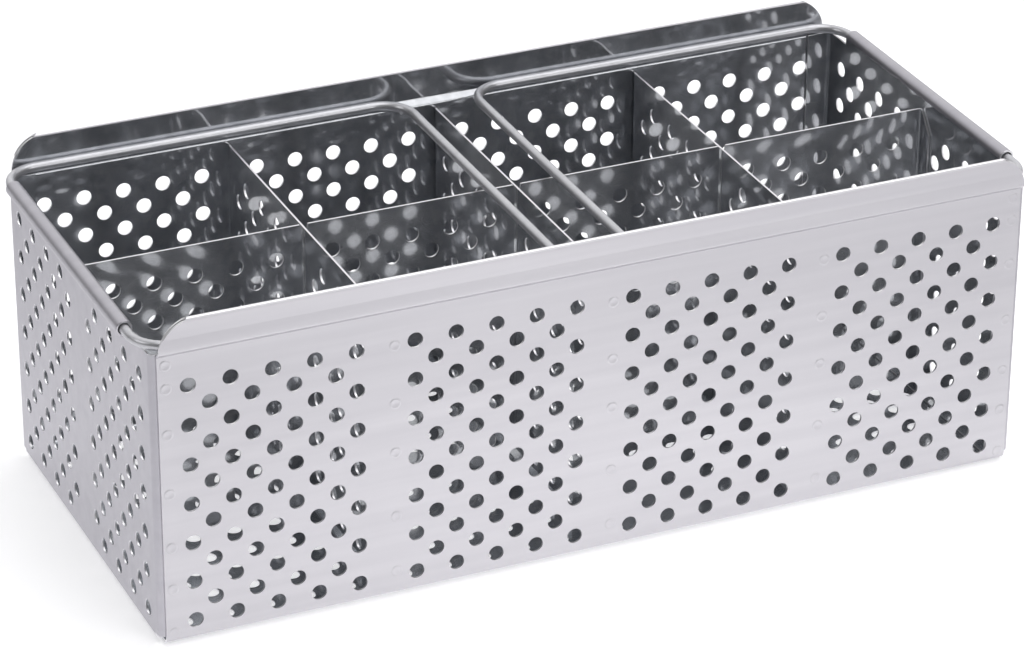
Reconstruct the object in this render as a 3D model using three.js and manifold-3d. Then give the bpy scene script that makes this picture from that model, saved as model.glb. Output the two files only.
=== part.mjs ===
// Cutlery drying basket: a perforated stainless box with eight compartments and two drop handles.
// Millimetres, +Z up, X along the length, front panel towards -Y, floor underside at Z = 0.
import * as THREE from "three";
import { mergeGeometries, mergeVertices } from "three/addons/utils/BufferGeometryUtils.js";
import Module from "manifold-3d";

const wasm = await Module();
wasm.setup();

// Box and sheet
const LENGTH = 422; // over the outer faces of the end walls
const DEPTH = 192; // over the lower faces of the front and back panels
const HEIGHT = 160; // floor underside to the top of the front and back panels
const SHEET = 1; // thickness of all sheet
const BEND_R = 3; // outer radius of the panel and wall bends
const FIT = 0.1; // gap between sheets that are welded face to face
const GAP = 0.3; // clearance between edges that only pass each other

// Front and back panels
const PANEL_CORNER_R = 17; // rounded upper corners
const STEP_OUT = 3; // how far the upper strip stands outside the lower face
const STEP_TILT = (52 * Math.PI) / 180; // slope of the step, off the vertical
const HEM = 9; // height of the open hem at the top
const HEM_R = 1.5; // outer radius of the hem's fold
const PANEL_RETURN = 6; // lower edge turned in over the floor

// End walls
const WALL_FLANGE = 13; // flange behind each panel, from the wall's outer face
const WALL_FOOT = 10; // lower edge turned in over the floor

// Compartments
const CELLS_LONG = 4;
const END_CELL_EXTRA = 2; // the two end rows of compartments are this much longer
const DIVIDER_FLANGE = 9; // welded end flange of a divider
const DIVIDER_BEND_R = 2;
const FLANGE_SLANT = 11; // drop of a flange's top towards its free edge
const CROSS_DROP = 3.6; // tops of the cross dividers below the underside of the handles
const LONG_RISE = 1.4; // top of the long divider above those of the cross dividers
const SLOT_MOUTH = 3.9; // width of the lead-in at the open end of a slot

// Perforation: square rows with a hole in the middle of each square
const HOLE_D = 7.3;
const HOLE_PITCH = 19.2;
const HOLE_SIDES = 6;
const HOLE_EDGE = 12; // least distance from a compartment's side to a hole's centre
const FIRST_ROW = 10.5; // lowest row above the floor's underside
const WALL_ROWS_UP = 2; // rows of the end walls above those of the panels
const TOP_PLAIN = 12; // least distance from the divider top to a hole's centre

// Floor and dividers: a few plain openings stand for each field of small holes
const OPENINGS_ALONG = 3; // in the floor of a compartment, along the length
const OPENINGS_ACROSS = 2; // in the floor of a compartment and in a divider's field, side by side
const OPENINGS_UP = 3; // in a divider's field, one above the other

// Drop handles
const ROD_D = 4.5;
const ROD_SIDES = 12;
const HANDLE_DROP = 14.6; // handle axis below the top of the panels
const HANDLE_BEND_R = 16;
const HANDLE_OVER_STEP = 2.35; // how far the arms of a centred handle lie over the steps of the panels
const HANDLE_SLIDE = 0.35; // both handles lie pushed back
const HANDLE_MEET = 34; // between the two free rods, centre to centre
const SLEEVE_SHORT = 4.1; // straight rod between the end of a sleeve and the bend of a centred handle
const SLEEVE_BACK = 2.5; // middle of the sleeves behind the middle of the walls
const SLEEVE_PLAY = 0.5; // radial room of the rod in its sleeve
const BUTT_GAP = 0.6; // between the rod's two ends, inside the sleeve
const ARC_STEPS = 10; // straight steps in a bend

// Places worked out from the sizes above
const ROD_R = ROD_D / 2;
const HANDLE_Z = HEIGHT - HANDLE_DROP;
const BORE_R = ROD_R + SLEEVE_PLAY;
const SLEEVE_R = BORE_R + SHEET;
const SLEEVE_X = LENGTH / 2 - SHEET + SLEEVE_R;
const WALL_TOP = HANDLE_Z - ROD_R - 2 * GAP;
const CROSS_TOP = HANDLE_Z - ROD_R - CROSS_DROP;
const LONG_TOP = CROSS_TOP + LONG_RISE;
const PANEL_LENGTH = LENGTH - 2 * BEND_R;
const FOOT_Z = SHEET + FIT;
const FOOT_TOP = FOOT_Z + SHEET;
const ABOVE_BEND = FOOT_Z + BEND_R + GAP;
const INNER_X = LENGTH / 2 - SHEET;
const INNER_Y = DEPTH / 2 - SHEET;
const CELL_X = (2 * (INNER_X - END_CELL_EXTRA)) / CELLS_LONG;
const ARM_Y = INNER_Y + HANDLE_OVER_STEP - ROD_R;
const SLEEVE_LENGTH = 2 * (ARM_Y - HANDLE_BEND_R - SLEEVE_SHORT);
// The step carries the back arm of each handle on its slope.
const KNEE = SHEET * Math.tan(STEP_TILT / 2);
const STEP_RISE = STEP_OUT / Math.tan(STEP_TILT);
const ARM_OUT = ARM_Y + HANDLE_SLIDE - INNER_Y;
const ARM_UP = (ROD_R + GAP + ARM_OUT * Math.cos(STEP_TILT)) / Math.sin(STEP_TILT);
const STEP_Z = HANDLE_Z - ARM_UP - KNEE;
const HALF_PITCH = HOLE_PITCH / 2;
const ROWS = 1 + Math.floor((CROSS_TOP - TOP_PLAIN - FIRST_ROW) / HALF_PITCH);
const ROWS_Z = FIRST_ROW + ((ROWS - 1) / 2) * HALF_PITCH;
// One hole for each two squares of the half pitch gives the open part of the sheet.
const OPEN_SIDE = Math.sqrt((Math.PI * HOLE_D ** 2) / 8) / HALF_PITCH;
const DIVIDER_X = Array.from({ length: CELLS_LONG - 1 }, (_, i) => (i + 1 - CELLS_LONG / 2) * CELL_X);
const SLOT_Z = (ABOVE_BEND + CROSS_TOP) / 2;

const satinSheet = () =>
  new THREE.MeshStandardMaterial({ color: 0xc9c8cf, roughness: 0.38, metalness: 1 });
const brightSheet = () =>
  new THREE.MeshStandardMaterial({ color: 0xb4b3b8, roughness: 0.25, metalness: 1 });
const polishedRod = () =>
  new THREE.MeshStandardMaterial({ color: 0xd6d5d8, roughness: 0.18, metalness: 1 });

function solid(geometry) {
  const bare = geometry.index ? geometry.toNonIndexed() : geometry.clone();
  bare.deleteAttribute("normal");
  bare.deleteAttribute("uv");
  const merged = mergeVertices(bare, 1e-4);
  return new wasm.Manifold(
    new wasm.Mesh({
      numProp: 3,
      vertProperties: merged.getAttribute("position").array,
      triVerts: new Uint32Array(merged.index.array),
    }),
  );
}

function geometryOf(body) {
  const made = body.getMesh();
  const geometry = new THREE.BufferGeometry();
  geometry.setAttribute("position", new THREE.BufferAttribute(new Float32Array(made.vertProperties), 3));
  geometry.setIndex(new THREE.BufferAttribute(new Uint32Array(made.triVerts), 1));
  geometry.computeVertexNormals();
  return geometry;
}

function named(name, geometry, material) {
  const mesh = new THREE.Mesh(geometry, material);
  mesh.name = name;
  return mesh;
}

function extrude(shape, depth) {
  return new THREE.ExtrudeGeometry(shape, { depth, bevelEnabled: false, curveSegments: ARC_STEPS / 2 });
}

// A profile drawn in (y, z), run along x about the middle of the basket.
function alongX(shape, length) {
  const turn = new THREE.Matrix4().makeBasis(
    new THREE.Vector3(0, 1, 0),
    new THREE.Vector3(0, 0, 1),
    new THREE.Vector3(1, 0, 0),
  );
  return solid(extrude(shape, length).applyMatrix4(turn).translate(-length / 2, 0, 0));
}

// A profile drawn in (x, z), run along y about the middle of the basket.
function alongY(shape, length) {
  return solid(extrude(shape, length).rotateX(Math.PI / 2).translate(0, length / 2, 0));
}

// A plan drawn in (x, y), raised from z0 to z1.
function alongZ(shape, z0, z1) {
  return solid(extrude(shape, z1 - z0).translate(0, 0, z0));
}

function block(x0, x1, y0, y1, z0, z1) {
  const box = new THREE.BoxGeometry(x1 - x0, y1 - y0, z1 - z0);
  return solid(box.translate((x0 + x1) / 2, (y0 + y1) / 2, (z0 + z1) / 2));
}

function columnsIn(width) {
  return 1 + Math.floor((width - 2 * HOLE_EDGE) / HALF_PITCH);
}

// Places of the holes in one compartment's field as [across, up] pairs about its middle.
function field(width) {
  const columns = columnsIn(width);
  const places = [];
  for (let row = 0; row < ROWS; row += 1) {
    for (let column = row % 2; column < columns; column += 2) {
      places.push([(column - (columns - 1) / 2) * HALF_PITCH, FIRST_ROW + (ROWS - 1 - row) * HALF_PITCH]);
    }
  }
  return places;
}

// Openings over a run of hole columns, as [middle, width] pairs with the open share of the holes.
function openings(columns, count) {
  const step = (columns * HALF_PITCH) / count;
  return Array.from({ length: count }, (_, i) => [(i - (count - 1) / 2) * step, OPEN_SIDE * step]);
}

// Drills across y through a sheet at the given y, one field for each compartment along x.
function drillsAcrossY(y) {
  const pins = [];
  for (let cell = 0; cell < CELLS_LONG; cell += 1) {
    const middle = (cell + 0.5 - CELLS_LONG / 2) * CELL_X;
    for (const [across, up] of field(CELL_X)) {
      const pin = new THREE.CylinderGeometry(HOLE_D / 2, HOLE_D / 2, 4 * SHEET, HOLE_SIDES);
      pins.push(pin.translate(middle + across, y, up));
    }
  }
  return solid(mergeGeometries(pins));
}

// Drills across x through a sheet at the given x, one field on each side of the middle.
function drillsAcrossX(x) {
  const pins = [];
  for (const side of [-1, 1]) {
    for (const [across, up] of field(INNER_Y)) {
      const pin = new THREE.CylinderGeometry(HOLE_D / 2, HOLE_D / 2, 4 * SHEET, HOLE_SIDES);
      pins.push(pin.rotateZ(Math.PI / 2).translate(x, side * (INNER_Y / 2 - across), up + WALL_ROWS_UP));
    }
  }
  return solid(mergeGeometries(pins));
}

// Cutters for the openings of a divider along x that passes the given number of compartments.
function dividerCutters(cells, width) {
  const cutters = [];
  for (let cell = 0; cell < cells; cell += 1) {
    const middle = (cell + 0.5 - cells / 2) * width;
    for (const [across, wide] of openings(columnsIn(width), OPENINGS_ACROSS)) {
      for (const [up, high] of openings(ROWS, OPENINGS_UP)) {
        const cutter = new THREE.BoxGeometry(wide, 4 * SHEET, high);
        cutters.push(cutter.translate(middle + across, 0, ROWS_Z + up));
      }
    }
  }
  return solid(mergeGeometries(cutters));
}

// Cutters for the openings of the floor, a small grid under each compartment.
function floorCutters() {
  const cutters = [];
  for (let cell = 0; cell < CELLS_LONG; cell += 1) {
    const middle = (cell + 0.5 - CELLS_LONG / 2) * CELL_X;
    for (const [along, long] of openings(columnsIn(CELL_X), OPENINGS_ALONG)) {
      for (const [across, wide] of openings(columnsIn(INNER_Y), OPENINGS_ACROSS)) {
        for (const side of [-1, 1]) {
          const cutter = new THREE.BoxGeometry(long, wide, 4 * SHEET);
          cutters.push(cutter.translate(middle + along, (side * INNER_Y) / 2 + across, 0));
        }
      }
    }
  }
  return solid(mergeGeometries(cutters));
}

// Front panel: turned in at the floor, stepped out under the strip, hemmed at the top, corners rounded.
function frontPanel() {
  const face = -DEPTH / 2;
  const strip = face - STEP_OUT;
  const foldY = strip + SHEET - HEM_R;
  const foldZ = HEIGHT - HEM_R;
  const profile = new THREE.Shape();
  profile.moveTo(face + PANEL_RETURN, FOOT_Z);
  profile.lineTo(face + PANEL_RETURN, FOOT_TOP);
  profile.lineTo(face + BEND_R, FOOT_TOP);
  profile.absarc(face + BEND_R, FOOT_Z + BEND_R, BEND_R - SHEET, -Math.PI / 2, -Math.PI, true);
  profile.lineTo(face + SHEET, STEP_Z + KNEE);
  profile.lineTo(strip + SHEET, STEP_Z + KNEE + STEP_RISE);
  profile.absarc(foldY, foldZ, HEM_R, 0, Math.PI, false);
  profile.lineTo(foldY - HEM_R, HEIGHT - HEM);
  profile.lineTo(foldY - HEM_R + SHEET, HEIGHT - HEM);
  profile.absarc(foldY, foldZ, HEM_R - SHEET, Math.PI, 0, true);
  profile.lineTo(strip, STEP_Z + STEP_RISE);
  profile.lineTo(face, STEP_Z);
  profile.lineTo(face, FOOT_Z + BEND_R);
  profile.absarc(face + BEND_R, FOOT_Z + BEND_R, BEND_R, Math.PI, 1.5 * Math.PI, false);
  profile.closePath();

  const cornerX = PANEL_LENGTH / 2 - PANEL_CORNER_R;
  const cornerZ = HEIGHT - PANEL_CORNER_R;
  const outline = new THREE.Shape();
  outline.moveTo(-PANEL_LENGTH / 2, 0);
  outline.lineTo(PANEL_LENGTH / 2, 0);
  outline.absarc(cornerX, cornerZ, PANEL_CORNER_R, 0, Math.PI / 2);
  outline.absarc(-cornerX, cornerZ, PANEL_CORNER_R, Math.PI / 2, Math.PI);
  outline.closePath();

  return alongX(profile, 2 * LENGTH)
    .intersect(alongY(outline, 2 * DEPTH))
    .subtract(drillsAcrossY(face + SHEET / 2));
}

// Left end wall: flanged behind both panels, turned in over the floor, its top rolled into a sleeve.
function leftEndWall() {
  const face = -LENGTH / 2;
  const flangeY = INNER_Y - FIT;
  const bendX = face + BEND_R;
  const bendY = flangeY - BEND_R;
  const plan = new THREE.Shape();
  plan.moveTo(face + WALL_FLANGE, flangeY - SHEET);
  plan.lineTo(face + WALL_FLANGE, flangeY);
  plan.lineTo(bendX, flangeY);
  plan.absarc(bendX, bendY, BEND_R, Math.PI / 2, Math.PI);
  plan.lineTo(face, -bendY);
  plan.absarc(bendX, -bendY, BEND_R, Math.PI, 1.5 * Math.PI);
  plan.lineTo(face + WALL_FLANGE, -flangeY);
  plan.lineTo(face + WALL_FLANGE, SHEET - flangeY);
  plan.lineTo(bendX, SHEET - flangeY);
  plan.absarc(bendX, -bendY, BEND_R - SHEET, 1.5 * Math.PI, Math.PI, true);
  plan.lineTo(face + SHEET, bendY);
  plan.absarc(bendX, bendY, BEND_R - SHEET, Math.PI, Math.PI / 2, true);
  plan.closePath();

  const foot = new THREE.Shape();
  foot.moveTo(face + WALL_FOOT, FOOT_TOP);
  foot.lineTo(bendX, FOOT_TOP);
  foot.absarc(bendX, FOOT_Z + BEND_R, BEND_R - SHEET, 1.5 * Math.PI, Math.PI, true);
  foot.lineTo(face + SHEET, ABOVE_BEND + SHEET);
  foot.lineTo(face, ABOVE_BEND + SHEET);
  foot.lineTo(face, FOOT_Z + BEND_R);
  foot.absarc(bendX, FOOT_Z + BEND_R, BEND_R, Math.PI, 1.5 * Math.PI);
  foot.lineTo(face + WALL_FOOT, FOOT_Z);
  foot.closePath();

  // The roll starts on the wall's inner face, goes over the rod and stops clear of the wall.
  const rollEnd = 2 * Math.PI - Math.acos((BORE_R - GAP) / SLEEVE_R);
  const roll = new THREE.Shape();
  roll.moveTo(face, WALL_TOP - SHEET);
  roll.lineTo(face + SHEET, WALL_TOP - SHEET);
  roll.absarc(-SLEEVE_X, HANDLE_Z, SLEEVE_R, 0, rollEnd, false);
  roll.absarc(-SLEEVE_X, HANDLE_Z, BORE_R, rollEnd, 0, true);
  roll.closePath();

  return alongZ(plan, ABOVE_BEND, WALL_TOP)
    .add(alongY(foot, DEPTH - 2 * PANEL_RETURN - 2 * GAP))
    .add(alongY(roll, SLEEVE_LENGTH).translate([0, SLEEVE_BACK, 0]))
    .subtract(drillsAcrossX(face + SHEET / 2));
}

// Plan of a divider along x: its ends turn towards -y into flanges on the walls.
function dividerPlan(reach) {
  const inner = DIVIDER_BEND_R - SHEET;
  const back = SHEET / 2;
  const centreY = back - DIVIDER_BEND_R;
  const centreX = reach - DIVIDER_BEND_R;
  const tip = back - DIVIDER_FLANGE;
  const plan = new THREE.Shape();
  plan.moveTo(-reach, tip);
  plan.lineTo(SHEET - reach, tip);
  plan.absarc(-centreX, centreY, inner, Math.PI, Math.PI / 2, true);
  plan.absarc(centreX, centreY, inner, Math.PI / 2, 0, true);
  plan.lineTo(reach - SHEET, tip);
  plan.lineTo(reach, tip);
  plan.absarc(centreX, centreY, DIVIDER_BEND_R, 0, Math.PI / 2, false);
  plan.absarc(-centreX, centreY, DIVIDER_BEND_R, Math.PI / 2, Math.PI, false);
  plan.closePath();
  return plan;
}

// A slot across a divider, open at `mouth` with a flared lead-in and closed at SLOT_Z.
function slot(mouth) {
  const half = SHEET / 2 + GAP;
  const away = Math.sign(mouth - SLOT_Z);
  const end = SLOT_Z - away * GAP;
  const outline = new THREE.Shape();
  outline.moveTo(-half, end);
  outline.lineTo(half, end);
  outline.lineTo(half, mouth - away * SLOT_MOUTH);
  outline.lineTo(SLOT_MOUTH / 2, mouth + away * GAP);
  outline.lineTo(-SLOT_MOUTH / 2, mouth + away * GAP);
  outline.lineTo(-half, mouth - away * SLOT_MOUTH);
  outline.closePath();
  const facingUp = away > 0;
  return alongY(facingUp ? outline : new THREE.Shape(outline.getPoints().reverse()), 4 * SHEET);
}

// A divider along x, with the upper corners of its flanges cut on a slant.
function dividerSheet(reach, top) {
  const root = -SHEET / 2 - GAP;
  const tip = SHEET / 2 - DIVIDER_FLANGE;
  const corner = new THREE.Shape();
  corner.moveTo(root, top);
  corner.lineTo(root, top + SHEET);
  corner.lineTo(tip - SHEET, top + SHEET);
  corner.lineTo(tip - SHEET, top - FLANGE_SLANT);
  corner.lineTo(tip, top - FLANGE_SLANT);
  corner.closePath();
  return alongZ(dividerPlan(reach), ABOVE_BEND, top).subtract(alongX(corner, 2 * LENGTH));
}

function longDivider() {
  let body = dividerSheet(INNER_X - FIT, LONG_TOP);
  body = body.subtract(dividerCutters(CELLS_LONG, CELL_X));
  for (const x of DIVIDER_X) {
    body = body.subtract(slot(LONG_TOP).translate([x, 0, 0]));
  }
  return body;
}

function crossDivider(x) {
  return dividerSheet(INNER_Y - FIT, CROSS_TOP)
    .subtract(dividerCutters(2, INNER_Y))
    .subtract(slot(ABOVE_BEND))
    .rotate([0, 0, 90])
    .translate([x, 0, 0]);
}

// Centre line of a handle: stations only where the rod bends, so straight runs stay single spans.
class RodLine extends THREE.Curve {
  constructor(points, tangents) {
    super();
    this.points = points;
    this.tangents = tangents;
  }
  getPointAt(share, target = new THREE.Vector3()) {
    return target.copy(this.points[Math.round(share * (this.points.length - 1))]);
  }
  getTangentAt(share, target = new THREE.Vector3()) {
    return target.copy(this.tangents[Math.round(share * (this.tangents.length - 1))]);
  }
}

// Left handle: a rod bent into a rounded rectangle whose ends meet inside the sleeve.
function leftHandle() {
  const hingeX = -SLEEVE_X;
  const freeX = -HANDLE_MEET / 2;
  const frontY = HANDLE_SLIDE - ARM_Y;
  const backY = HANDLE_SLIDE + ARM_Y;
  const points = [new THREE.Vector3(hingeX, -BUTT_GAP / 2, HANDLE_Z)];
  const tangents = [new THREE.Vector3(0, -1, 0)];
  const corners = [
    [hingeX + HANDLE_BEND_R, frontY + HANDLE_BEND_R, Math.PI],
    [freeX - HANDLE_BEND_R, frontY + HANDLE_BEND_R, 1.5 * Math.PI],
    [freeX - HANDLE_BEND_R, backY - HANDLE_BEND_R, 2 * Math.PI],
    [hingeX + HANDLE_BEND_R, backY - HANDLE_BEND_R, 2.5 * Math.PI],
  ];
  for (const [x, y, start] of corners) {
    for (let step = 0; step <= ARC_STEPS; step += 1) {
      const turn = start + (step / ARC_STEPS) * (Math.PI / 2);
      const out = new THREE.Vector3(Math.cos(turn), Math.sin(turn), 0);
      points.push(new THREE.Vector3(x, y, HANDLE_Z).addScaledVector(out, HANDLE_BEND_R));
      tangents.push(new THREE.Vector3(-out.y, out.x, 0));
    }
  }
  points.push(new THREE.Vector3(hingeX, BUTT_GAP / 2, HANDLE_Z));
  tangents.push(new THREE.Vector3(0, -1, 0));
  const round = new THREE.Shape();
  round.absarc(0, 0, ROD_R, 0, 2 * Math.PI);
  return new THREE.ExtrudeGeometry(round, {
    extrudePath: new RodLine(points, tangents),
    steps: points.length - 1,
    curveSegments: ROD_SIDES / 2,
    bevelEnabled: false,
  });
}

const basket = new THREE.Group();
basket.name = "cutlery_drying_basket";

const front = frontPanel();
basket.add(named("front_panel", geometryOf(front), satinSheet()));
basket.add(named("back_panel", geometryOf(front.rotate([0, 0, 180])), satinSheet()));

const floorX = PANEL_LENGTH / 2;
const floorY = DEPTH / 2 - BEND_R;
const floor = block(-floorX, floorX, -floorY, floorY, 0, SHEET).subtract(floorCutters());
basket.add(named("floor_panel", geometryOf(floor), brightSheet()));

const wall = leftEndWall();
basket.add(named("left_end_wall", geometryOf(wall), satinSheet()));
basket.add(named("right_end_wall", geometryOf(wall.mirror([1, 0, 0])), satinSheet()));

basket.add(named("long_divider", geometryOf(longDivider()), brightSheet()));
DIVIDER_X.forEach((x, i) => {
  basket.add(named(`cross_divider_${i + 1}`, geometryOf(crossDivider(x)), brightSheet()));
});

const handle = leftHandle();
basket.add(named("left_handle", handle, polishedRod()));
const mirrored = geometryOf(solid(handle).mirror([1, 0, 0]));
basket.add(named("right_handle", mirrored, polishedRod()));

export default basket;
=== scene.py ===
"""Looks of a perforated stainless cutlery basket with eight compartments and two drop handles."""

import bmesh
import bpy
import math
from mathutils import Matrix, Vector


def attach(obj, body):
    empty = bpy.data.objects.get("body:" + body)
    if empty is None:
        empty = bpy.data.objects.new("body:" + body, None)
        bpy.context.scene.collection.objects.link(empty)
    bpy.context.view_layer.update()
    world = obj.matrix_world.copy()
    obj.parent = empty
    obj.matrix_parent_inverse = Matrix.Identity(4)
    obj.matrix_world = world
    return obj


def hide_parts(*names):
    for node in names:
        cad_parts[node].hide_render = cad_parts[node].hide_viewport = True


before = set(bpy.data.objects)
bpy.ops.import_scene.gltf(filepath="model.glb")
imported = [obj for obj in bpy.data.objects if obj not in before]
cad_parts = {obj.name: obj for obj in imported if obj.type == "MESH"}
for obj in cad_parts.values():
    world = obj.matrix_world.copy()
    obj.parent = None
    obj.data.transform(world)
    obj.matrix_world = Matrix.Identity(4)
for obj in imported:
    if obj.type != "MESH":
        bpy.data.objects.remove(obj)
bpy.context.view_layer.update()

MM = 0.001

# Box and sheet, in millimetres
LENGTH = 422.0  # over the outer faces of the end walls
DEPTH = 192.0  # over the lower faces of the front and back panels
HEIGHT = 160.0  # floor underside to the top of the panels
SHEET = 1.0
SKIN_GAP = 0.02  # taken off the sheet so that folded faces don't share a plane
BEND_R = 2.5  # middle of the sheet in the panel and wall bends
BEND_STEPS = 8
FOOT_Z = 1.6  # middle of the turned-in lower edges, which lie on the floor sheet
BEND_Z = FOOT_Z + BEND_R
EDGE_BREAK = 0.14  # width of the deburred corner along every cut edge
EDGE_ANGLE = 50.0  # degrees; corners sharper than this are deburred
CREASE_ANGLE = 30.0  # degrees; corners flatter than this are shaded as one surface
TURNED_FINISH = 1  # where a fold turns the sheet over, its finishes count on from the second
SAME_PLACE = 1e-3  # points closer than this count as one
SHEAR_SLACK = 1e-4  # points this close to a shearing plane are taken to lie on it

# Panels
PANEL_LENGTH = 416.0
PANEL_CORNER_R = 17.0
CORNER_STEPS = 15
PANEL_RETURN = 6.0
STEP_OUT = 3.0
STEP_TILT = 52.0  # degrees off the vertical
STEP_Z = 141.56  # lower knee of the step, in the middle of the sheet
KNEE_R = 1.2
KNEE_STEPS = 5
HEM = 9.0
HEM_R = 0.9
HEM_TURN = 186.0  # degrees; the fold closes until the hem's lower edge meets the strip
HEM_STEPS = 10
CREST = 0.7  # share of the fold's radius above which its top is tinted paler as a painted highlight
CREST_HIGHLIGHT_FINISH = 2  # counts on from the third finish, so the crest's outside takes the last, the paler edge finish: a painted highlight

# End walls and their hinge sleeves
WALL_FLANGE = 13.0
WALL_FOOT = 10.0
WALL_FOOT_HALF = 89.7
WALL_LOW = 4.4
WALL_TOP = 142.55
FLANGE_Y = 94.9
ROLL_X = 213.73  # axis of the rolled sleeve
SLEEVE_FRONT = -72.5
SLEEVE_BACK = 77.5
SLEEVE_TURN = 310.0  # degrees
SLEEVE_STEPS = 36

# Dividers
CROSS_TOP = 139.55
LONG_TOP = 140.95
DIVIDER_FLANGE = 9.0
DIVIDER_BEND_R = 1.5
DIVIDER_STEPS = 6
FLANGE_SLANT = 11.0  # drop of a flange's top towards its free edge
DIVIDER_X = (-104.0, 0.0, 104.0)
LONG_REACH = 209.9
CROSS_REACH = 94.9
SLOT_HALF = 1.3
SLOT_MOUTH = 1.95
SLOT_FLARE = 3.9
SLOT_Z = (WALL_LOW + CROSS_TOP) / 2

# Perforation
HOLE_R = 3.65
HOLE_SIDES = 20
HALF_PITCH = 9.6
ROWS = 13
FIRST_ROW = 10.5
WALL_ROWS_UP = 2.0  # the end walls' rows sit this much higher
CELLS_LONG = 4
CELLS_DEEP = 2
CELL_X = 104.0
CELL_Y = 95.0
LONG_COLUMNS = 9
SHORT_COLUMNS = 8

# Handles
ROD_R = 2.25
ROD_SIDES = 24
ROD_CREASE = 40.0  # degrees; only the rod's cut ends are sharper
ROD_X = 213.75  # axis of the rod in its sleeve
HANDLE_Z = 145.4
HANDLE_BEND_R = 16.0
HANDLE_STEPS = 16
HANDLE_FRONT = -94.75
HANDLE_BACK = 95.45
HANDLE_FREE = 17.0  # from the middle of the basket to the rod's free side
BUTT_HALF = 0.3

# Spot welds
WELD_PROFILE = [(0.0, 0.04), (1.3, 0.02), (1.9, 0.2), (2.2, 0.2), (2.8, 0.0)]  # radius, height
WELD_SIDES = 14
EDGE_WELD_X = 204.3
EDGE_WELD_Z = (136.9, 125.7, 103.7, 74.8, 48.4, 27.8, 5.9)
DIVIDER_WELD_Z = (124.8, 96.5, 72.2, 40.4, 12.7)
DIVIDER_WELD_SHIFT = 4.0  # from a divider's middle to the middle of its flange

X_AXIS = Vector((1, 0, 0))
Y_AXIS = Vector((0, 1, 0))
Z_AXIS = Vector((0, 0, 1))
STAND_UP = Matrix.Rotation(math.pi / 2, 4, "X")  # from the XY plane to the XZ plane


# Sheet metal work: punch a flat blank, then fold its edges.


def centred(index, count, pitch):
    """Place of one of a row of things, from the row's middle."""
    return (index - (count - 1) / 2) * pitch


def field(columns):
    """Hole places of one compartment as (across, up), rows staggered by half a pitch."""
    return [
        (centred(column, columns, HALF_PITCH), FIRST_ROW + (ROWS - 1 - row) * HALF_PITCH)
        for row in range(ROWS)
        for column in range(row % 2, columns, 2)
    ]


def fields(count, pitch, columns):
    """Hole places of a row of compartments."""
    return [
        (centred(cell, count, pitch) + across, up)
        for cell in range(count)
        for across, up in field(columns)
    ]


def punched(outline, holes):
    """A flat blank in the XZ plane, facing -Y, with round holes."""
    bm = bmesh.new()
    corners = [bm.verts.new((x, 0, z)) for x, z in outline]
    for a, b in zip(corners, corners[1:] + corners[:1]):
        bm.edges.new((a, b))
    for x, z in holes:
        place = Matrix.Translation((x, 0, z)) @ STAND_UP
        bmesh.ops.create_circle(bm, segments=HOLE_SIDES, radius=HOLE_R, matrix=place)
    bmesh.ops.triangle_fill(bm, edges=bm.edges[:], use_beauty=True, normal=(0, -1, 0))
    return bm


def placed(bm, degrees=0, axis="Z", shift=(0, 0, 0)):
    """Turns a shape about an axis through the origin, then moves it."""
    turn = Matrix.Rotation(math.radians(degrees), 3, axis)
    bmesh.ops.rotate(bm, verts=bm.verts[:], cent=(0, 0, 0), matrix=turn)
    bmesh.ops.translate(bm, verts=bm.verts[:], vec=shift)
    return bm


def mirrored(bm):
    """Makes a left-hand shape right-handed; its normals are put right later."""
    bmesh.ops.scale(bm, vec=(-1, 1, 1), verts=bm.verts[:])
    return bm


def near(a, b):
    return abs(a - b) < SAME_PLACE


def edges_where(bm, test):
    """Open edges whose two ends both pass the test."""
    return [e for e in bm.edges if e.is_boundary and all(test(v.co) for v in e.verts)]


def bend(bm, edges, centre, axis, degrees, steps):
    """Folds the sheet on from these edges about an axis, and gives the new end edges."""
    verts = list({v for e in edges for v in e.verts})
    flat = set(bm.faces)
    made = bmesh.ops.spin(
        bm, geom=verts + edges, cent=centre, axis=axis, angle=math.radians(degrees), steps=steps
    )
    for face in bm.faces:
        face.smooth = face.smooth or face not in flat
    return [g for g in made["geom_last"] if isinstance(g, bmesh.types.BMEdge)]


def run(bm, edges, step):
    """Carries the sheet straight on from these edges, and gives the new end edges."""
    folded = set(bm.faces)
    made = bmesh.ops.extrude_edge_only(bm, edges=edges)["geom"]
    verts = {g for g in made if isinstance(g, bmesh.types.BMVert)}
    bmesh.ops.translate(bm, verts=list(verts), vec=step)
    for face in bm.faces:
        face.smooth = face.smooth and face in folded
    return [g for g in made if isinstance(g, bmesh.types.BMEdge) and set(g.verts) <= verts]


def shear(bm, point, outwards):
    """Cuts off whatever lies beyond a plane."""
    bmesh.ops.bisect_plane(
        bm,
        geom=bm.verts[:] + bm.edges[:] + bm.faces[:],
        dist=SHEAR_SLACK,
        plane_co=point,
        plane_no=outwards,
        clear_outer=True,
    )


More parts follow.
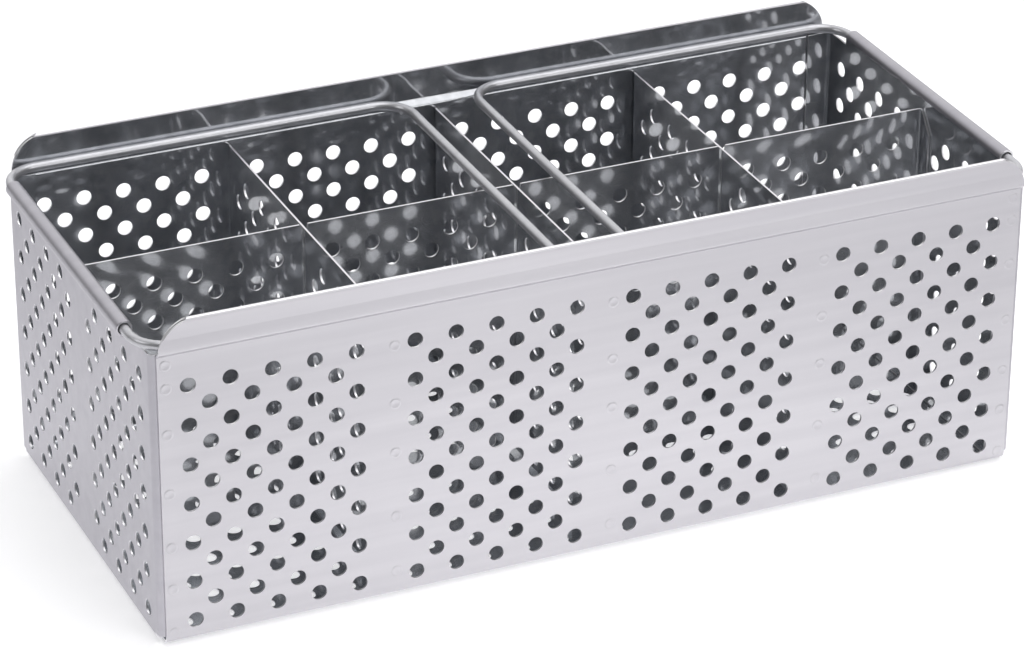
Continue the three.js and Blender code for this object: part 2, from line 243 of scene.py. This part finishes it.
def front_panel():
    """The front: lower edge turned in, strip stepped out, top hemmed, corners rounded."""
    half = PANEL_LENGTH / 2
    middle = -DEPTH / 2 + SHEET / 2
    tilt = math.radians(STEP_TILT)
    slant = STEP_OUT - 2 * KNEE_R * (1 - math.cos(tilt))
    low_knee = STEP_Z - KNEE_R * math.tan(tilt / 2)
    outline = [(-half, BEND_Z), (half, BEND_Z), (half, low_knee), (-half, low_knee)]
    bm = punched(outline, fields(CELLS_LONG, CELL_X, LONG_COLUMNS))
    placed(bm, shift=(0, middle, 0))

    low = edges_where(bm, lambda co: near(co.z, BEND_Z))
    low = bend(bm, low, (0, middle + BEND_R, BEND_Z), X_AXIS, 90, BEND_STEPS)
    run(bm, low, (0, PANEL_RETURN - SHEET / 2 - BEND_R, 0))

    high = edges_where(bm, lambda co: near(co.z, low_knee))
    high = bend(bm, high, (0, middle - KNEE_R, low_knee), X_AXIS, STEP_TILT, KNEE_STEPS)
    high = run(bm, high, (0, -slant, slant / math.tan(tilt)))
    end = high[0].verts[0].co.copy()
    upper = (0, end.y + KNEE_R * math.cos(tilt), end.z + KNEE_R * math.sin(tilt))
    high = bend(bm, high, upper, X_AXIS, -STEP_TILT, KNEE_STEPS)

    end = high[0].verts[0].co.copy()
    fold_z = HEIGHT - HEM_R - SHEET / 2
    high = run(bm, high, (0, 0, fold_z - end.z))
    below = set(bm.faces)
    high = bend(bm, high, (0, end.y - HEM_R, fold_z), X_AXIS, HEM_TURN, HEM_STEPS)
    lean = math.radians(HEM_TURN - 180)
    leg = HEM - HEM_R - SHEET / 2
    run(bm, high, (0, leg * math.sin(lean), -leg * math.cos(lean)))
    # The hem's crest takes the paler edge finish: a painted highlight along the top of the fold.
    for face in set(bm.faces) - below:
        on_crest = face.calc_center_median().z > fold_z + CREST * HEM_R
        face.material_index = CREST_HIGHLIGHT_FINISH if on_crest else TURNED_FINISH

    for side in (-1, 1):
        centre = Vector((side * (half - PANEL_CORNER_R), 0, HEIGHT - PANEL_CORNER_R))
        for step in range(1, CORNER_STEPS):
            turn = math.radians(90 * step / CORNER_STEPS)
            out = Vector((side * math.cos(turn), 0, math.sin(turn)))
            shear(bm, centre + PANEL_CORNER_R * out, out)
    return bm


def left_end_wall():
    """The left end: flanged behind both panels, footed, its top rolled into a sleeve."""
    middle = -LENGTH / 2 + SHEET / 2
    side = FLANGE_Y - SHEET / 2 - BEND_R
    outline = [
        (-side, WALL_LOW),
        (-WALL_FOOT_HALF, WALL_LOW),
        (-WALL_FOOT_HALF, BEND_Z),
        (WALL_FOOT_HALF, BEND_Z),
        (WALL_FOOT_HALF, WALL_LOW),
        (side, WALL_LOW),
        (side, WALL_TOP),
        (-SLEEVE_FRONT, WALL_TOP),
        (-SLEEVE_FRONT, HANDLE_Z),
        (-SLEEVE_BACK, HANDLE_Z),
        (-SLEEVE_BACK, WALL_TOP),
        (-side, WALL_TOP),
    ]
    holes = [
        (cell * CELL_Y / 2 - cell * across, up + WALL_ROWS_UP)
        for cell in (-1, 1)
        for across, up in field(SHORT_COLUMNS)
    ]
    bm = placed(punched(outline, holes), -90, shift=(middle, 0, 0))

    for hand in (-1, 1):
        edge = edges_where(bm, lambda co: near(co.y, hand * side))
        axle = (middle + BEND_R, hand * side, 0)
        edge = bend(bm, edge, axle, Z_AXIS, -90 * hand, BEND_STEPS)
        run(bm, edge, (WALL_FLANGE - SHEET / 2 - BEND_R, 0, 0))
    foot = edges_where(bm, lambda co: near(co.z, BEND_Z))
    foot = bend(bm, foot, (middle + BEND_R, 0, BEND_Z), Y_AXIS, -90, BEND_STEPS)
    run(bm, foot, (WALL_FOOT - SHEET / 2 - BEND_R, 0, 0))

    rim = edges_where(bm, lambda co: near(co.z, HANDLE_Z))
    below = set(bm.faces)
    bend(bm, rim, (-ROLL_X, 0, HANDLE_Z), Y_AXIS, -SLEEVE_TURN, SLEEVE_STEPS)
    for face in set(bm.faces) - below:
        face.material_index = TURNED_FINISH
    return bm


def divider(reach, top, holes, slots, slotted_from):
    """A divider along X: slotted for its neighbours, ends turned towards -Y into welded flanges."""
    side = reach - SHEET / 2 - DIVIDER_BEND_R
    far_edge = WALL_LOW if slotted_from == top else top
    facing = math.copysign(1, slotted_from - far_edge)
    flare_z = slotted_from - facing * SLOT_FLARE
    notches = [
        point
        for x in slots
        for point in (
            (x - SLOT_MOUTH, slotted_from),
            (x - SLOT_HALF, flare_z),
            (x - SLOT_HALF, SLOT_Z),
            (x + SLOT_HALF, SLOT_Z),
            (x + SLOT_HALF, flare_z),
            (x + SLOT_MOUTH, slotted_from),
        )
    ]
    near_side = [(-side, slotted_from), *notches, (side, slotted_from)]
    bm = punched([*near_side, (side, far_edge), (-side, far_edge)], holes)
    for hand in (-1, 1):
        edge = edges_where(bm, lambda co: near(co.x, hand * side))
        axle = (hand * side, -DIVIDER_BEND_R, 0)
        edge = bend(bm, edge, axle, Z_AXIS, -90 * hand, DIVIDER_STEPS)
        run(bm, edge, (0, SHEET / 2 + DIVIDER_BEND_R - DIVIDER_FLANGE, 0))
    shear(bm, (0, -SHEET / 2, top), (0, -FLANGE_SLANT, DIVIDER_FLANGE - SHEET))
    return bm


def floor_sheet():
    """The floor: a flat sheet with a punched field under each compartment."""
    half_x = PANEL_LENGTH / 2
    half_y = DEPTH / 2 - BEND_R - SHEET / 2
    outline = [(-half_x, -half_y), (half_x, -half_y), (half_x, half_y), (-half_x, half_y)]
    holes = [
        (
            centred(cell, CELLS_LONG, CELL_X) + centred(i, LONG_COLUMNS, HALF_PITCH),
            centred(row, CELLS_DEEP, CELL_Y) + centred(j, SHORT_COLUMNS, HALF_PITCH),
        )
        for cell in range(CELLS_LONG)
        for row in range(CELLS_DEEP)
        for i in range(LONG_COLUMNS)
        for j in range(i % 2, SHORT_COLUMNS, 2)
    ]
    return placed(punched(outline, holes), -90, "X", (0, 0, SHEET / 2))


def left_handle():
    """The left handle: a round rod bent into a rectangle whose ends meet inside the sleeve."""
    bm = bmesh.new()
    start = Matrix.Translation((-ROD_X, -BUTT_HALF, HANDLE_Z)) @ STAND_UP
    bmesh.ops.create_circle(bm, cap_ends=True, segments=ROD_SIDES, radius=ROD_R, matrix=start)
    edges = bm.edges[:]
    near_x = HANDLE_BEND_R - ROD_X
    far_x = -HANDLE_FREE - HANDLE_BEND_R
    front_y = HANDLE_FRONT + HANDLE_BEND_R
    back_y = HANDLE_BACK - HANDLE_BEND_R
    legs = [
        ((0, front_y + BUTT_HALF, 0), (near_x, front_y, HANDLE_Z)),
        ((far_x - near_x, 0, 0), (far_x, front_y, HANDLE_Z)),
        ((0, back_y - front_y, 0), (far_x, back_y, HANDLE_Z)),
        ((near_x - far_x, 0, 0), (near_x, back_y, HANDLE_Z)),
    ]
    for straight, corner in legs:
        edges = run(bm, edges, straight)
        edges = bend(bm, edges, corner, Z_AXIS, 90, HANDLE_STEPS)
    edges = run(bm, edges, (0, BUTT_HALF - back_y, 0))
    bmesh.ops.triangle_fill(bm, edges=edges, use_beauty=True)
    return bm


def weld_marks(places):
    """Shallow rings that the electrodes leave, on the XZ plane facing -Y."""
    bm = bmesh.new()
    for x, z in places:
        chain = [bm.verts.new((x + r, -h, z)) for r, h in WELD_PROFILE]
        links = [bm.edges.new(pair) for pair in zip(chain, chain[1:])]
        bmesh.ops.spin(
            bm,
            geom=chain + links,
            cent=(x, 0, z),
            axis=Y_AXIS,
            angle=math.tau,
            steps=WELD_SIDES,
            use_merge=True,
        )
    bmesh.ops.remove_doubles(bm, verts=bm.verts[:], dist=SAME_PLACE)
    return bm


# Finishes

CLOUD_MM = 6.0  # width of the streaks in which the tone changes
WHITE = (1, 1, 1, 1)


def linear(code):
    """sRGB hex to linear RGBA."""
    channels = [int(code[i : i + 2], 16) / 255 for i in (0, 2, 4)]
    return [c / 12.92 if c <= 0.04045 else ((c + 0.055) / 1.055) ** 2.4 for c in channels] + [1.0]


def node(tree, kind, values=None, links=None, **settings):
    """Adds one node: its settings, its socket values, and links from other nodes' outputs."""
    made = tree.nodes.new(kind)
    for name, value in settings.items():
        setattr(made, name, value)
    for socket, value in (values or {}).items():
        made.inputs[socket].default_value = value
    for socket, source in (links or {}).items():
        tree.links.new(source, made.inputs[socket])
    return made


def stainless(
    name, tints, roughness, split, grain_mm, stretch, grain_depth_mm, wave_mm, wave_depth_mm
):
    """Stainless steel: grain along X, a slow tone change, and the slight waviness of thin sheet.

    Below `split` the grain is bright and above it dull; a wide split lets the two run together.
    """
    material = bpy.data.materials.new(name)
    material.use_nodes = True
    tree = material.node_tree
    shader = tree.nodes["Principled BSDF"]
    shader.inputs["Metallic"].default_value = 1.0
    place = node(tree, "ShaderNodeTexCoord")
    along = node(
        tree,
        "ShaderNodeMapping",
        {"Scale": (1 / stretch, 1.0, 1.0)},
        {"Vector": place.outputs["Object"]},
    )
    grain = node(
        tree,
        "ShaderNodeTexNoise",
        {"Scale": 1 / (grain_mm * MM), "Detail": 3.0},
        {"Vector": along.outputs["Vector"]},
    )
    cloud = node(
        tree,
        "ShaderNodeTexNoise",
        {"Scale": 1 / (CLOUD_MM * MM), "Detail": 2.0},
        {"Vector": along.outputs["Vector"]},
    )
    tone = node(
        tree,
        "ShaderNodeMix",
        {"A": linear(tints[0]), "B": linear(tints[1])},
        {"Factor": cloud.outputs["Fac"]},
        data_type="RGBA",
    )
    tree.links.new(tone.outputs["Result"], shader.inputs["Base Color"])
    dull = node(
        tree,
        "ShaderNodeMapRange",
        {
            "From Min": split[0],
            "From Max": split[1],
            "To Min": roughness[0],
            "To Max": roughness[1],
        },
        {"Value": grain.outputs["Fac"]},
    )
    tree.links.new(dull.outputs["Result"], shader.inputs["Roughness"])
    wave = node(
        tree,
        "ShaderNodeTexNoise",
        {"Scale": 1 / (wave_mm * MM), "Detail": 1.0},
        {"Vector": place.outputs["Object"]},
    )
    sway = node(
        tree,
        "ShaderNodeBump",
        {"Strength": 1.0, "Distance": wave_depth_mm * MM},
        {"Height": wave.outputs["Fac"]},
    )
    score = node(
        tree,
        "ShaderNodeBump",
        {"Strength": 1.0, "Distance": grain_depth_mm * MM},
        {"Height": grain.outputs["Fac"], "Normal": sway.outputs["Normal"]},
    )
    tree.links.new(score.outputs["Normal"], shader.inputs["Normal"])
    return material


# Satin face of cold-rolled stainless: soft and pale, its fine grain drawn coarser than life to show.
satin = stainless(
    "stainless_satin_sheet",
    tints=("d2d0d4", "c2c0c5"),
    roughness=(0.30, 0.38),
    split=(0.0, 1.0),
    grain_mm=0.9,
    stretch=25,
    grain_depth_mm=0.004,
    wave_mm=60,
    wave_depth_mm=0.03,
)
# The end walls' satin sheet: the same grain, duller, and tinted a shade greyer than the panels as
# painted shade on the walls and their sleeves.
satin_end_painted_shade = stainless(
    "stainless_satin_end_painted_shade_sheet",
    tints=("c2c0c6", "b2b0b7"),
    roughness=(0.34, 0.42),
    split=(0.0, 1.0),
    grain_mm=0.9,
    stretch=25,
    grain_depth_mm=0.004,
    wave_mm=60,
    wave_depth_mm=0.03,
)
# Bright mill face of the same sheet: near-mirror under a haze, so the inside repeats holes and edges.
bright = stainless(
    "stainless_bright_sheet",
    tints=("d2d4d8", "a2a4a8"),
    roughness=(0.06, 0.38),
    split=(0.48, 0.56),
    grain_mm=0.05,
    stretch=1,
    grain_depth_mm=0.0001,
    wave_mm=45,
    wave_depth_mm=0.05,
)
# Sheared, deburred edges and the crest of the hems: rougher than the faces, and tinted paler as a
# painted highlight, so each rim reads as a light line. Its grain is drawn coarser than life to show.
cut_edge_highlight = stainless(
    "stainless_cut_edge_painted_highlight",
    tints=("f2f1f4", "e8e7ea"),
    roughness=(0.35, 0.45),
    split=(0.0, 1.0),
    grain_mm=0.5,
    stretch=25,
    grain_depth_mm=0.002,
    wave_mm=30,
    wave_depth_mm=0.0,
)
# Drawn and tumbled rod: a broad, soft highlight along its length.
drawn = stainless(
    "stainless_drawn_rod",
    tints=("d6d6da", "c6c6ca"),
    roughness=(0.24, 0.64),
    split=(0.46, 0.54),
    grain_mm=0.05,
    stretch=1,
    grain_depth_mm=0.0001,
    wave_mm=30,
    wave_depth_mm=0.0,
)

# A sheet's finishes: its outside, its inside, the outside again for the folds, and its cut edges,
# whose paler tint is a painted highlight.
panel_finish = (satin, bright, satin, cut_edge_highlight)
# The end walls wear the greyer tint: painted shade on the same steel as the panels.
wall_finish = (satin_end_painted_shade, bright, satin_end_painted_shade, cut_edge_highlight)
inner_finish = (bright, cut_edge_highlight)  # both sides alike, then the cut edges


# Pieces


def piece(name, bm, materials, body):
    """Turns a bmesh in millimetres into a piece that rides on a body."""
    bmesh.ops.scale(bm, vec=(MM, MM, MM), verts=bm.verts[:])
    mesh = bpy.data.meshes.new(name)
    bm.to_mesh(mesh)
    bm.free()
    made = bpy.data.objects.new(name, mesh)
    bpy.context.scene.collection.objects.link(made)
    for material in materials:
        mesh.materials.append(material)
    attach(made, body)
    return made


def sheet(name, node_name, bm, materials, outside):
    """A folded sheet in place of a CAD node.

    The bmesh is the middle of the metal, which then gets its thickness and deburred edges.
    """
    bmesh.ops.recalc_face_normals(bm, faces=bm.faces[:])
    if sum(face.calc_area() * face.normal.dot(outside) for face in bm.faces) < 0:
        bmesh.ops.reverse_faces(bm, faces=bm.faces[:])
    made = piece(name, bm, materials, "basket")
    wall = made.modifiers.new("sheet", "SOLIDIFY")
    wall.thickness = (SHEET - SKIN_GAP) * MM
    wall.offset = 0.0
    wall.material_offset = min(1, len(materials) - 2)
    wall.material_offset_rim = len(materials) - 1
    edge = made.modifiers.new("edges", "BEVEL")
    edge.width = EDGE_BREAK * MM
    edge.segments = 1
    edge.limit_method = "ANGLE"
    edge.angle_limit = math.radians(EDGE_ANGLE)
    shaped = made.evaluated_get(bpy.context.evaluated_depsgraph_get())
    made.data = bpy.data.meshes.new_from_object(shaped)
    made.modifiers.clear()
    made.data.name = name
    made.data.set_sharp_from_angle(angle=math.radians(CREASE_ANGLE))
    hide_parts(node_name)


back_panel = placed(front_panel(), 180)
right_end_wall = mirrored(left_end_wall())
long_holes = fields(CELLS_LONG, CELL_X, LONG_COLUMNS)
long_divider = divider(LONG_REACH, LONG_TOP, long_holes, DIVIDER_X, LONG_TOP)
for name, node_name, bm, materials, slot, outside in (
    ("front_panel_sheet", "front_panel", front_panel(), panel_finish, "satin_sheet", -Y_AXIS),
    ("back_panel_sheet", "back_panel", back_panel, panel_finish, "satin_sheet", Y_AXIS),
    ("left_end_wall_sheet", "left_end_wall", left_end_wall(), wall_finish, "satin_sheet", -X_AXIS),
    ("right_end_wall_sheet", "right_end_wall", right_end_wall, wall_finish, "satin_sheet", X_AXIS),
    ("floor_sheet", "floor_panel", floor_sheet(), inner_finish, "bright_sheet", Z_AXIS),
    ("long_divider_sheet", "long_divider", long_divider, inner_finish, "bright_sheet", -Y_AXIS),
):
    sheet(name, node_name, bm, materials, outside)

cross_holes = fields(CELLS_DEEP, CELL_Y, SHORT_COLUMNS)
for number, x in enumerate(DIVIDER_X, start=1):
    cross = divider(CROSS_REACH, CROSS_TOP, cross_holes, (0.0,), WALL_LOW)
    node_name = f"cross_divider_{number}"
    placed(cross, 90, shift=(x, 0, 0))
    sheet(f"{node_name}_sheet", node_name, cross, inner_finish, X_AXIS)

for node_name, rod in (
    ("left_handle", left_handle()),
    ("right_handle", mirrored(left_handle())),
):
    bmesh.ops.recalc_face_normals(rod, faces=rod.faces[:])
    loop = piece(f"{node_name}_rod", rod, (drawn,), node_name)
    loop.data.shade_smooth()
    loop.data.set_sharp_from_angle(angle=math.radians(ROD_CREASE))
    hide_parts(node_name)

front_welds = [(side * EDGE_WELD_X, z) for side in (-1, 1) for z in EDGE_WELD_Z]
front_welds += [(x + DIVIDER_WELD_SHIFT, z) for x in DIVIDER_X for z in DIVIDER_WELD_Z]
back_welds = [(-x, z) for x, z in front_welds]
for name, places, degrees in (
    ("front_weld_marks", front_welds, 0),
    ("back_weld_marks", back_welds, 180),
):
    marks = placed(weld_marks(places), shift=(0, -DEPTH / 2 + SKIN_GAP / 2, 0))
    bmesh.ops.recalc_face_normals(marks, faces=marks.faces[:])
    rings = piece(name, placed(marks, degrees), (satin,), "basket")
    rings.data.shade_smooth()


# Studio, in metres: pale floor, soft light, and the camera fitted to the photograph's hole rows.

FLOOR_REACH = 15.0
FLOOR_DROP = 0.0003  # keeps the paper and the basket's floor out of one plane
PAPER_ROUGHNESS = 0.9
PAPER_GLOW = 0.45  # lifts the paper to white for the eye
# Painted reflection: the paper glows for the steel's gloss rays, strongly near the basket and faintly
# further off, so the lower steel mirrors more light
STEEL_PAINTED_GLOW = {"From Min": 0.12, "From Max": 0.45, "To Min": 0.62, "To Max": 0.12}
SKY_SIDE = Vector((0.36, 0.76, 0.54))  # where the room is brightest
SKY_LEVEL = {"From Min": 0.3, "From Max": 0.9, "To Min": 0.08, "To Max": 1.0}
LAMPS = (  # name, place, width, watts
    ("overhead_softbox", (0.5, -0.6, 2.4), 2.6, 34.0),
    ("left_softbox", (-2.2, 0.2, 1.6), 1.4, 10.0),
    ("front_softbox", (1.0, -2.25, 0.95), 1.5, 12.0),
)
LAMP_TARGET = Vector((0, 0, 0.08))
LENS_MM = 150.17
SENSOR_MM = 36.0
CAMERA_PLACE = (-0.7173, -1.6012, 0.9770)
CAMERA_ROLL = 0.271  # degrees, as the next two
CAMERA_DOWN = 27.363
CAMERA_ROUND = 24.073


def studio_floor():
    bm = bmesh.new()
    bmesh.ops.create_grid(bm, x_segments=1, y_segments=1, size=FLOOR_REACH)
    mesh = bpy.data.meshes.new("studio_floor")
    bm.to_mesh(mesh)
    bm.free()
    ground = bpy.data.objects.new("studio_floor", mesh)
    ground.location.z = -FLOOR_DROP
    bpy.context.scene.collection.objects.link(ground)
    # Matt white paper sweep: no gloss of its own; it shows white and takes the shadow, and it glows
    # for the steel as a painted reflection.
    paper = bpy.data.materials.new("white_paper_sweep")
    paper.use_nodes = True
    tree = paper.node_tree
    shader = tree.nodes["Principled BSDF"]
    shader.inputs["Base Color"].default_value = linear("f4f4f6")
    shader.inputs["Roughness"].default_value = PAPER_ROUGHNESS
    shader.inputs["Specular IOR Level"].default_value = 0.0
    shader.inputs["Emission Color"].default_value = WHITE
    path = node(tree, "ShaderNodeLightPath")
    seen = node(
        tree,
        "ShaderNodeMath",
        None,
        {0: path.outputs["Is Camera Ray"], 1: path.outputs["Is Transmission Ray"]},
        operation="MAXIMUM",
    )
    place = node(tree, "ShaderNodeTexCoord")
    away = node(
        tree, "ShaderNodeVectorMath", None, {0: place.outputs["Object"]}, operation="LENGTH"
    )
    fade = node(
        tree,
        "ShaderNodeMapRange",
        STEEL_PAINTED_GLOW,
        {"Value": away.outputs["Value"]},
        interpolation_type="SMOOTHSTEP",
    )
    # Glow that only the steel's gloss rays see, fading with distance from the basket: a painted
    # reflection.
    painted_reflection_glow = node(
        tree,
        "ShaderNodeMath",
        None,
        {0: path.outputs["Is Glossy Ray"], 1: fade.outputs["Result"]},
        operation="MULTIPLY",
    )
    glow = node(
        tree,
        "ShaderNodeMath",
        {1: PAPER_GLOW},
        {0: seen.outputs["Value"], 2: painted_reflection_glow.outputs["Value"]},
        operation="MULTIPLY_ADD",
    )
    tree.links.new(glow.outputs["Value"], shader.inputs["Emission Strength"])
    mesh.materials.append(paper)


def studio_light():
    world = bpy.data.worlds.new("studio")
    bpy.context.scene.world = world
    world.use_nodes = True
    tree = world.node_tree
    direction = node(tree, "ShaderNodeTexCoord")
    towards = node(
        tree,
        "ShaderNodeVectorMath",
        {1: SKY_SIDE.normalized()},
        {0: direction.outputs["Generated"]},
        operation="DOT_PRODUCT",
    )
    level = node(
        tree,
        "ShaderNodeMapRange",
        SKY_LEVEL,
        {"Value": towards.outputs["Value"]},
        interpolation_type="SMOOTHSTEP",
    )
    sky = tree.nodes["Background"]
    sky.inputs["Color"].default_value = WHITE
    tree.links.new(level.outputs["Result"], sky.inputs["Strength"])
    for name, place, width, watts in LAMPS:
        lamp = bpy.data.lights.new(name, "AREA")
        lamp.shape = "SQUARE"
        lamp.size = width
        lamp.energy = watts
        holder = bpy.data.objects.new(name, lamp)
        holder.location = place
        aim = LAMP_TARGET - Vector(place)
        holder.rotation_euler = aim.to_track_quat("-Z", "Y").to_euler()
        bpy.context.scene.collection.objects.link(holder)


def photo_camera():
    lens = bpy.data.cameras.new("photo_camera")
    lens.lens = LENS_MM
    lens.sensor_width = SENSOR_MM
    eye = bpy.data.objects.new("photo_camera", lens)
    bpy.context.scene.collection.objects.link(eye)
    turn = (
        Matrix.Rotation(math.radians(CAMERA_ROLL), 3, "Y")
        @ Matrix.Rotation(math.radians(CAMERA_DOWN), 3, "X")
        @ Matrix.Rotation(math.radians(CAMERA_ROUND), 3, "Z")
    )
    right, ahead, up = turn
    facing = Matrix((right, up, -ahead)).transposed().to_4x4()
    eye.matrix_world = Matrix.Translation(CAMERA_PLACE) @ facing
    bpy.context.scene.camera = eye


studio_floor()
studio_light()
photo_camera()
bpy.context.scene.view_settings.view_transform = "Standard"
